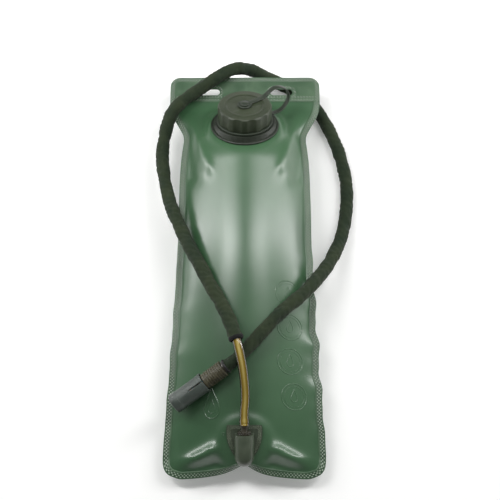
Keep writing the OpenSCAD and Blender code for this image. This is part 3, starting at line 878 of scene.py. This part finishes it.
# %% Strip with knurled borders
STRIP_Z = 32 * MM
STRIP_HALF = float(FILM_W / 2 * eased(0, 1)) + SEAM_W
STRIP_CORNER = 12 * MM
SLOT_X, SLOT_Y = 42 * MM, 212 * MM
SLOT_LEN, SLOT_W = 26 * MM, 8 * MM


def from_slot(x, y):
    """How far a place lies outside the nearer slot's edge."""
    over = np.maximum(np.abs(np.abs(x) - SLOT_X) - (SLOT_LEN - SLOT_W) / 2, 0)
    return np.hypot(over, y - SLOT_Y) - SLOT_W / 2


def strip_grid():
    x_share = np.linspace(-1, 1, 330)[None, :]
    y = np.linspace(HEADER_Y - 0.5 * MM, HEADER_Y + HEADER_H, 62)[:, None] + 0 * x_share
    into = np.clip(STRIP_CORNER - (HEADER_Y + HEADER_H - y), 0, STRIP_CORNER)
    edge = STRIP_HALF - STRIP_CORNER + np.sqrt(STRIP_CORNER ** 2 - into ** 2)
    x = x_share * edge
    inward = np.minimum(edge - np.abs(x), HEADER_Y + HEADER_H - y)
    pattern = knurl(x, y)
    pressed_here = np.maximum(band(inward, 0.8 * MM, 5 * MM),
                              band(from_slot(x, y), 1.5 * MM, 3.8 * MM))
    for low in (0.6 * MM, 4.4 * MM):
        pressed_here = np.maximum(pressed_here, band(y - HEADER_Y, low, low + 2.4 * MM))
    relief = pattern * pressed_here
    wave = 0.6 * MM * (np.sin(x / (13 * MM)) * np.sin(x / (31 * MM) + 1) - 1)
    wave *= np.clip((y - HEADER_Y) / (12 * MM), 0, 1)
    # This relief mask drives the painted highlight on the diamonds and the painted shade in the
    # valleys.
    raised = (1.5 * pattern / pattern.max() - 0.5) * pressed_here
    return np.stack([x, y, STRIP_Z + 0.55 * MM + wave + relief], -1), raised


strip_points, strip_raised = strip_grid()
strip = new_piece("hanging_strip", strip_points, quads(grid_numbers(strip_points), True))
mark_raised(strip, strip_raised)
apply_modifier(strip, "SOLIDIFY", thickness=1.1 * MM, offset=-1)
bpy.ops.object.select_all(action="DESELECT")
for side in (-1, 1):
    bpy.ops.mesh.primitive_cylinder_add(vertices=48, radius=SLOT_W / 2, depth=8 * MM,
                                        location=(side * SLOT_X, SLOT_Y, STRIP_Z))
    cutter = bpy.context.object
    bpy.ops.object.mode_set(mode="EDIT")
    for way in (-1, 1):
        bpy.ops.mesh.select_all(action="DESELECT")
        shape = bmesh.from_edit_mesh(cutter.data)
        for vertex in shape.verts:
            vertex.select = vertex.co.x * way > 0.01 * MM
        bmesh.update_edit_mesh(cutter.data)
        bpy.ops.transform.translate(value=(way * (SLOT_LEN - SLOT_W) / 2, 0, 0))
    bpy.ops.object.mode_set(mode="OBJECT")
    apply_modifier(strip, "BOOLEAN", operation="DIFFERENCE", object=cutter, solver="EXACT")
    bpy.data.objects.remove(cutter)
finish_piece(strip, "root", weld_film, ["hanger_header"])
print("hanging strip", len(strip.data.polygons), "faces")

# %% [markdown]
# ## Hose and sleeve
#
# The tube is dyed plastic, stretched a little where it is pushed over the outlet's barb. Its
# sleeve is a sewn fabric tube, cut too wide and too long, so it wrinkles all the way. Both
# are skins laid on the same route: rings of points, with a radius that depends on the place
# along the hose and round it. The wrinkles are a sum of slanting waves, the same each run.

# %% Skins along the hose


def tube_skin(name, path, outer, inner, sides):
    """A hollow tube along a path. Outer and inner give a radius for each ring and side."""
    across, up = carried_frames(path)
    turn = np.linspace(0, 2 * math.pi, sides, endpoint=False)
    way = (across[:, None] * np.cos(turn)[None, :, None]
           + up[:, None] * np.sin(turn)[None, :, None])
    along = distances(path)
    skins = [path[:, None] + way * np.broadcast_to(r(along[:, None], turn[None, :]),
                                                   way.shape[:2])[..., None]
             for r in (outer, inner)]
    number = np.arange(2 * len(path) * sides).reshape(2, len(path), sides)
    number = np.concatenate([number, number[:, :, :1]], 2)
    faces = quads(number[0]) + quads(number[1], True)
    for end, flip in ((0, True), (-1, False)):
        faces += quads(np.stack([number[0, end], number[1, end]]), not flip)
    piece = new_piece(name, np.stack(skins), faces)
    layer = piece.data.uv_layers.new(name="along")
    where = np.zeros(len(piece.data.loops), int)
    piece.data.loops.foreach_get("vertex_index", where)
    ring, side = np.divmod(where % (len(path) * sides), sides)
    first = side[np.repeat(np.arange(0, len(where), 4), 4)]
    side = np.where((side == 0) & (first > sides // 2), sides, side)
    radius = 7.5 * MM
    layer.data.foreach_set("uv", np.stack([side / sides * 2 * math.pi * radius, along[ring]],
                                          1).ravel())
    return piece


def wrinkles(seed, count, shortest, longest):
    """A smooth pattern of slanting folds, from -1 to 1."""
    chance = np.random.default_rng(seed)
    waves = [(2 * math.pi / chance.uniform(shortest, longest), chance.integers(-3, 4),
              chance.uniform(0, 2 * math.pi)) for _ in range(count)]

    def height(along, turn):
        total = sum(np.sin(k * along + m * turn + phase) for k, m, phase in waves)
        return np.tanh(total / math.sqrt(count / 2))
    return height


big_folds = wrinkles(11, 9, 16 * MM, 60 * MM)
small_folds = wrinkles(12, 10, 9 * MM, 26 * MM)
sleeve_path = hose_path[round(path_length(smooth_path(route[:SLEEVE_START + 1], 2 * MM))
                              / path_length(hose_path) * (len(hose_path) - 1)):]
sleeve_length = path_length(sleeve_path)


def sleeve_radius(along, turn):
    slim = 0.5 * MM * np.clip((along - sleeve_length + 0.12) / 0.12, 0, 1)
    deep = 0.75 * MM * (1 - big_folds(along, turn)) / 2
    creases = 1.1 * MM * (1 - np.abs(small_folds(along, turn))) ** 2
    return 7.85 * MM - slim - deep - creases


def tube_radius(along, turn):
    barb = 0.55 * MM * bump(along, 4 * MM, 1.4 * MM) + 0.25 * MM * bump(along, 0, 3 * MM)
    return 4.75 * MM + barb + 0 * turn


hose = tube_skin("hose", hose_path, tube_radius, lambda a, t: 3.25 * MM + 0 * a * t, 24)
finish_piece(hose, "root", amber, ["drink_tube"])
sleeve = tube_skin("hose_sleeve", smooth_path(sleeve_path, 1.6 * MM), sleeve_radius,
                   lambda a, t: 5.6 * MM + 0 * a * t, 48)
finish_piece(sleeve, "root", sleeve_cloth, ["tube_sleeve"])


def hem_radius(along, turn):
    stitches = 0.12 * MM * np.sin(turn * 26) * bump(along, 2.6 * MM, 0.9 * MM)
    return 7.9 * MM - 1.4 * MM * (np.abs(along - 2.4 * MM) / (2.6 * MM)) ** 3 + stitches


hem_path = smooth_path(np.array([sleeve_path[0] + (sleeve_path[0] - sleeve_path[2]) * 0.8,
                                 sleeve_path[0], sleeve_path[1]]), 0.3 * MM)
hem = tube_skin("sleeve_hem", hem_path, hem_radius, lambda a, t: 5.4 * MM + 0 * a * t, 96)
finish_piece(hem, "root", hem_cloth, ["sleeve_cuff"])
print("sleeve", round(sleeve_length, 3), "m;", len(sleeve.data.polygons), "faces")

# %% [markdown]
# ## Mouldings taken over from the working model
#
# The screw thread, the scalloped cap and the outlet's housing have to be exactly what the
# working model says, because they turn and seal. So their shape is copied: the loose
# triangles are joined, flat faces are merged, and every hard edge gets the small round that
# a mould leaves. That round is what catches the light.

# %% Rounded copies


def shade_by_angle(piece, degrees):
    pick(piece)
    bpy.ops.object.shade_smooth_by_angle(angle=math.radians(degrees))


def rounded_copy(node, name, width):
    mesh = bmesh.new()
    mesh.from_mesh(bpy.data.objects[node].data)
    bmesh.ops.remove_doubles(mesh, verts=mesh.verts, dist=0.003 * MM)
    bmesh.ops.dissolve_limit(mesh, angle_limit=math.radians(1.5), verts=mesh.verts,
                             edges=mesh.edges)
    made = bpy.data.meshes.new(name)
    mesh.to_mesh(made)
    mesh.free()
    piece = add_object(name, made)
    apply_modifier(piece, "BEVEL", width=width, segments=2, limit_method="ANGLE",
                   angle_limit=math.radians(38), use_clamp_overlap=True)
    shade_by_angle(piece, 38)
    return piece


COPIES = [("fill_collar", "fill_neck", 0.5, "root", "fill_port", collar_moulding),
          ("tether_ring", "tether_band", 0.5, "root", "tether", tether_moulding),
          ("screw_cap", "scalloped_cap", 0.7, "cap", "fill_port", moulded),
          ("cap_stud", "lid_stud", 0.4, "cap", "fill_port", tether_moulding),
          ("outlet_shield", "outlet_housing", 0.5, "root", "outlet", outlet_moulding),
          ("outlet_spigot", "barbed_nozzle", 0.25, "root", "nozzle", nozzle_plastic),
          ("lock_ring", "nozzle_ring", 0.35, "root", "nozzle", nozzle_plastic),
          ("sleeve_clip", "sleeve_clamp", 0.5, "root", "trim", seal_rubber),
          ("bite_valve", "bite_mouthpiece", 0.6, "root", "mouthpiece", mouth_silicone)]
for node, name, width, body, slot, surface in COPIES:
    piece = rounded_copy(node, name, width * MM)
    finish_piece(piece, body, surface, [node])
    print(name, len(piece.data.polygons), "faces")
for node, surface in (("cap_gasket", seal_rubber), ("spigot_orings", seal_rubber),
                      ("valve_orings", seal_rubber), ("valve_tail", nozzle_plastic),
                      ("shutoff_core", nozzle_plastic)):
    dress(bpy.data.objects[node], surface)

# %% [markdown]
# ## Turned pieces
#
# The lid's step, the ribbed collar and the dust cover are round, so each is a profile that is
# spun about its axis. A profile is written as pairs of radius and height in the piece's own
# place, and a matrix puts it on the fill port or on the valve.

# %% Places and the spin
PORT_PLACE = Matrix.Translation(PORT) @ Matrix.Rotation(-PORT_TILT, 4, "X")
OUTLET_PLACE = Matrix.Translation(OUTLET) @ Matrix.Rotation(OUTLET_TILT, 4, "X")
VALVE_PLACE = (Matrix.Translation(VALVE)
               @ Matrix.Rotation(math.atan2(VALVE_AXIS[1], VALVE_AXIS[0]), 4, "Z")
               @ Matrix.Rotation(math.acos(VALVE_AXIS[2]), 4, "Y"))


def turned(name, profile, place, steps=96):
    """A closed profile of (radius, height) in millimetres, spun round its own axis."""
    points = [(r * MM, 0, z * MM) for r, z in profile]
    edges = [(i, (i + 1) % len(points)) for i in range(len(points))]
    mesh = bpy.data.meshes.new(name)
    mesh.from_pydata(points, edges, [])
    piece = add_object(name, mesh)
    pick(piece)
    bpy.ops.object.mode_set(mode="EDIT")
    bpy.ops.mesh.select_all(action="SELECT")
    bpy.ops.mesh.spin(steps=steps, angle=2 * math.pi, center=(0, 0, 0), axis=(0, 0, 1))
    bpy.ops.mesh.select_all(action="SELECT")
    bpy.ops.mesh.remove_doubles(threshold=0.002 * MM)
    bpy.ops.object.mode_set(mode="OBJECT")
    face_outward(piece)
    mesh.transform(place)
    shade_by_angle(piece, 35)
    return piece


CAP_TOP = 27
lid = turned("lid_step", [(19.6, CAP_TOP - 0.3), (19.9, CAP_TOP + 0.35), (20.5, CAP_TOP + 0.6),
                          (22.4, CAP_TOP + 0.6), (23.0, CAP_TOP + 0.35), (23.3, CAP_TOP - 0.3)],
             PORT_PLACE)
finish_piece(lid, "cap", moulded)
print("lid step", len(lid.data.polygons), "faces")

# %% [markdown]
# ## Ribbed collar
#
# The shut-off collar is gripped by wet fingers, so it has eight round ribs. One rib is a few
# pairs of radius and height. A loop repeats it along the collar before the profile is spun.

# %% Ribbed collar
COLLAR_FROM, RIBS, RIB_PITCH = 4.3, 8, 2.625


def collar_profile():
    profile = [(6.7, COLLAR_FROM), (8.0, COLLAR_FROM)]
    for rib in range(RIBS):
        low = COLLAR_FROM + rib * RIB_PITCH + 0.1
        profile += [(8.15, low + 0.05), (8.7, low + 0.2), (8.98, low + 0.55), (9.0, low + 0.9),
                    (8.98, low + 1.25), (8.7, low + 1.6), (8.15, low + 1.75)]
    end = COLLAR_FROM + RIBS * RIB_PITCH
    return profile + [(8.1, end), (8.4, end + 0.3), (8.4, end + 2.7), (8.1, end + 3),
                      (6.7, end + 3)]


collar = turned("ribbed_collar", collar_profile(), VALVE_PLACE)
finish_piece(collar, "shutoff", collar_rubber, ["shutoff_collar"])
print("ribbed collar", len(collar.data.polygons), "faces")

# %% [markdown]
# ## Dust cover
#
# The cover is a hard cup that slides off the mouthpiece. It is spun like the collar. A box on
# each side then cuts the slot that lets the cup spring, and a small bevel rounds the edges.

# %% Dust cover
COVER_FROM, COVER_R = 28.6, 10.8
COVER_PROFILE = [(9.4, 0), (10.5, 0), (10.8, 0.3), (10.8, 2.6), (10.55, 2.9), (10.55, 6.0),
                 (10.3, 6.3), (10.3, 31.0), (10.55, 31.3), (10.55, 38.6), (10.2, 39.5), (9.4, 40.0),
                 (4.0, 40.0), (3.6, 39.6), (0.01, 39.6), (0.01, 38.2), (8.8, 38.2), (9.4, 37.6)]
cover = turned("slotted_cover", [(r, COVER_FROM + z) for r, z in COVER_PROFILE], VALVE_PLACE)
for side in (-1, 1):
    bpy.ops.mesh.primitive_cube_add(size=1, location=(side * COVER_R * MM, 0, 0))
    cutter = bpy.context.object
    cutter.scale = (6 * MM, 1.8 * MM, 36 * MM)
    bpy.ops.object.transform_apply(location=True, scale=True)
    cutter.data.transform(VALVE_PLACE @ Matrix.Translation((0, 0, COVER_FROM * MM)))
    apply_modifier(cover, "BOOLEAN", operation="DIFFERENCE", object=cutter, solver="EXACT")
    bpy.data.objects.remove(cutter)
apply_modifier(cover, "BEVEL", width=0.15 * MM, segments=2, limit_method="ANGLE",
               angle_limit=math.radians(60))
shade_by_angle(cover, 35)
finish_piece(cover, "cover", cover_plastic, ["dust_cover"])
print("dust cover", len(cover.data.polygons), "faces")

# %% [markdown]
# ## Tether strap
#
# The strap ties the cap to the ring round the neck. It is one flat soft moulding with an
# eyelet at the cap's end. When the cap is unscrewed the eyelet rises and the ring stays, so
# the strap stretches between them.

# %% Strap
EYELET_Z, STRAP_T, STRAP_W = 27.3, 1.6, 6.0
STRAP_MID = EYELET_Z + STRAP_T / 2
# distance from the port's axis, direction in degrees and height, in millimetres
STRAP_LOOP = [(4, 34, STRAP_MID), (14, 34, STRAP_MID), (22, 34, STRAP_MID + 0.4),
              (28, 34, STRAP_MID + 2.5), (33, 33, STRAP_MID + 6), (39, 32, STRAP_MID + 8.5),
              (46, 30, STRAP_MID + 8), (52, 29, STRAP_MID + 4), (55, 28, STRAP_MID - 2),
              (54.5, 27, STRAP_MID - 8.5), (51, 26, STRAP_MID - 14), (46, 24, 10.7),
              (40.5, 23, 8.7), (33, 22, 8.3)]


def strap_piece():
    spots = np.array([(r * math.cos(math.radians(a)), r * math.sin(math.radians(a)), z)
                      for r, a, z in STRAP_LOOP]) * MM
    path = smooth_path(spots, 0.8 * MM)
    side = np.array((-math.sin(math.radians(28)), math.cos(math.radians(28)), 0))
    tangents = directions(path)
    normals = np.cross(side, tangents)
    outline = [(-1, -0.4), (-0.86, -0.85), (-0.7, -1), (0, -0.86), (0.7, -1), (0.86, -0.85),
               (1, -0.4), (1, 0.4), (0.86, 0.85), (0.7, 1), (0, 0.86), (-0.7, 1),
               (-0.86, 0.85), (-1, 0.4)]
    ring = [path + side * (u * STRAP_W / 2 * MM) + normals * (v * STRAP_T / 2 * MM)
            for u, v in outline]
    piece = capped_bar("strap_and_eyelet", np.stack(ring, 1))
    piece.data.transform(PORT_PLACE)
    eyelet = turned("eyelet", [(3.3, 27.35), (7.5, 27.35), (8, 27.7), (8, 28.5), (7.5, 28.9),
                               (5.6, 28.9), (5.3, 28.6), (3.3, 28.6)], PORT_PLACE, 48)
    pick(piece)
    eyelet.select_set(True)
    bpy.ops.object.join()
    face_outward(piece)
    shade_by_angle(piece, 50)
    return piece


strap = strap_piece()
dress(strap, tether_moulding)
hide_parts("tether_strap")
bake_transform(strap)
print("tether strap", len(strap.data.polygons), "faces")

# %% [markdown]
# ## Small relief
#
# The outlet's patch and the fill port's flange are gripped by knurled weld bars, and the film
# carries a few embossed marks. The marks here are plain rings and a drop. Each is a low
# ribbon that is laid on the finished film by looking straight down for its height.

# %% Studs and marks


def patch_inward(x, y):
    """How far a place lies inside the outlet patch's outline, in millimetres."""
    return min(42 - math.hypot(abs(x) + 23.4, y - 12), 19 - y, 18.6 - abs(x))


def studs():
    """Small pyramids on the patch's border, outside the housing."""
    points, faces = [], []
    pitch = 1.7
    for i in range(-24, 25):
        for j in range(-26, 24):
            x, y = i * pitch / 2, j * pitch / 2
            if (i + j) % 2 or not 0.9 < patch_inward(x, y) < 4.4:
                continue
            if abs(x) < 10.9 and -22.5 < y < 12.2:
                continue
            first = len(points)
            for size, z in ((0.62, 1.35), (0.25, 1.85)):
                points += [(x + size, y, z), (x, y + size, z), (x - size, y, z), (x, y - size, z)]
            faces += [[first + k, first + (k + 1) % 4, first + 4 + (k + 1) % 4, first + 4 + k]
                      for k in range(4)]
            faces += [[first + 4, first + 5, first + 6, first + 7],
                      [first + 3, first + 2, first + 1, first]]
    piece = new_piece("patch_knurl", np.array(points) * MM, faces)
    piece.data.transform(OUTLET_PLACE)
    shade_by_angle(piece, 30)
    return piece


# The studs' pale colour is a painted highlight.
finish_piece(studs(), "root", studs_painted_pale)


def flange_knurl():
    """A ring of diamonds on the fill port's flange."""
    inner, outer, flange_top = 33.7 * MM, 36.9 * MM, 1.95 * MM
    turn = np.linspace(0, 2 * math.pi, 420)[:-1, None]
    r = np.linspace(inner, outer, 12)[None, :]
    relief = knurl(turn * 36 * MM, r + 0 * turn, 0.35 * MM) * band(r, inner, outer)
    top = np.stack([r * np.cos(turn), r * np.sin(turn), flange_top + relief], -1)
    numbers = grid_numbers(top)
    numbers = np.concatenate([numbers, numbers[:1]], 0)
    piece = new_piece("flange_knurl", top, quads(numbers))
    piece.data.transform(PORT_PLACE)
    return piece


finish_piece(flange_knurl(), "root", collar_moulding)


def laid_ribbon(outline, width, height):
    """Points and faces of a closed low ribbon that follows the film."""
    outline = np.asarray(outline)
    way = np.roll(outline, -1, 0) - np.roll(outline, 1, 0)
    way /= np.linalg.norm(way, axis=1)[:, None]
    side = np.stack([way[:, 1], -way[:, 0]], 1)
    rows = []
    for over, up in ((-1, -0.15), (-0.6, 0.6), (0, 1), (0.6, 0.6), (1, -0.15)):
        flat = outline + side * over * width / 2
        row = []
        for x, y in flat:
            spot, normal = film_surface.ray_cast(Vector((x, y, 0.3)), Vector((0, 0, -1)))[:2]
            row.append(spot + normal * up * height)
        rows.append(row)
    points = np.array(rows).transpose(1, 0, 2)
    numbers = np.arange(points.shape[0] * 5).reshape(-1, 5)
    return points.reshape(-1, 3), quads(np.concatenate([numbers, numbers[:1]], 0), True)


def circle(x, y, r, count=72):
    turn = np.linspace(0, 2 * math.pi, count, endpoint=False)
    return np.stack([x + r * np.cos(turn), y + r * np.sin(turn)], 1) * MM


def drop(x, y, size):
    turn = np.linspace(0, 2 * math.pi, 96, endpoint=False)
    return np.stack([x + size * 0.75 * np.sin(turn) * np.sin(turn / 2) ** 1.6,
                     y + size * np.cos(turn)], 1) * MM


outlines = [(drop(-34, -154, 15), 1.8, 0.7), (drop(-34, -157, 7), 1.1, 0.4),
            (circle(-22, -185, 1.3, 24), 0.9, 0.5)]
for x, y in ((46, -38), (48, -74), (48, -110), (52, -146)):
    outlines += [(circle(x, y, 13.4), 1.2, 0.45), (drop(x, y + 1, 6.5), 0.9, 0.35),
                 (circle(x, y, 10.6), 0.5, 0.25)]
all_points, all_faces = [], []
for outline, width, height in outlines:
    points, faces = laid_ribbon(outline, width * MM, height * MM)
    first = sum(len(p) for p in all_points)
    all_points.append(points)
    all_faces += [[first + k for k in face] for face in faces]
marks = new_piece("embossed_marks", np.concatenate(all_points), all_faces)
finish_piece(marks, "root", film)
print("embossed marks", len(marks.data.polygons), "faces")

# %% [markdown]

# %% [markdown]
# ## Studio
#
# Two long soft boxes stand left and right of the bag. On the swollen film each one leaves one
# soft band of light along the bag. The film's lower half is flatter and would send that light
# past the camera, so two small dim boxes hang higher for it. A pale floor that glows a little
# and an even sky fill the rest.

# %% Floor and lights
bpy.ops.mesh.primitive_plane_add(size=8)
floor = bpy.context.object
floor.name = "floor"
pale, _, _ = material("pale floor", Base_Color=(0.90, 0.90, 0.89, 1), Roughness=0.8,
                       Emission_Color=(1, 1, 1, 1), Emission_Strength=0.18)
floor.data.materials.append(pale)


def soft_box(name, place, size, power):
    data = bpy.data.lights.new(name, "AREA")
    data.shape = "RECTANGLE"
    data.size, data.size_y = size
    data.energy = power
    light = add_object(name, data)
    light.location = place
    toward = Vector((0, place[1], 0.04)) - Vector(place)
    light.rotation_euler = toward.to_track_quat("-Z", "Y").to_euler()


# name, place and size in metres, power in watts
SOFT_BOXES = [("left band", (-1.00, 0.42, 0.71), (0.22, 2.8), 20),
              ("right band", (1.00, 0.42, 0.71), (0.22, 2.8), 20),
              ("left foot light", (-0.50, 0.24, 1.1), (0.2, 0.4), 2.6),
              ("right foot light", (0.50, 0.24, 1.1), (0.2, 0.4), 1.6)]
for box in SOFT_BOXES:
    soft_box(*box)
sky = bpy.data.worlds.new("sky")
bpy.context.scene.world = sky
sky.use_nodes = True
sky.node_tree.nodes["Background"].inputs["Color"].default_value = (1, 1, 1, 1)
sky.node_tree.nodes["Background"].inputs["Strength"].default_value = 0.16
bpy.context.scene.view_settings.view_transform = "Standard"
print(len(SOFT_BOXES), "soft boxes")
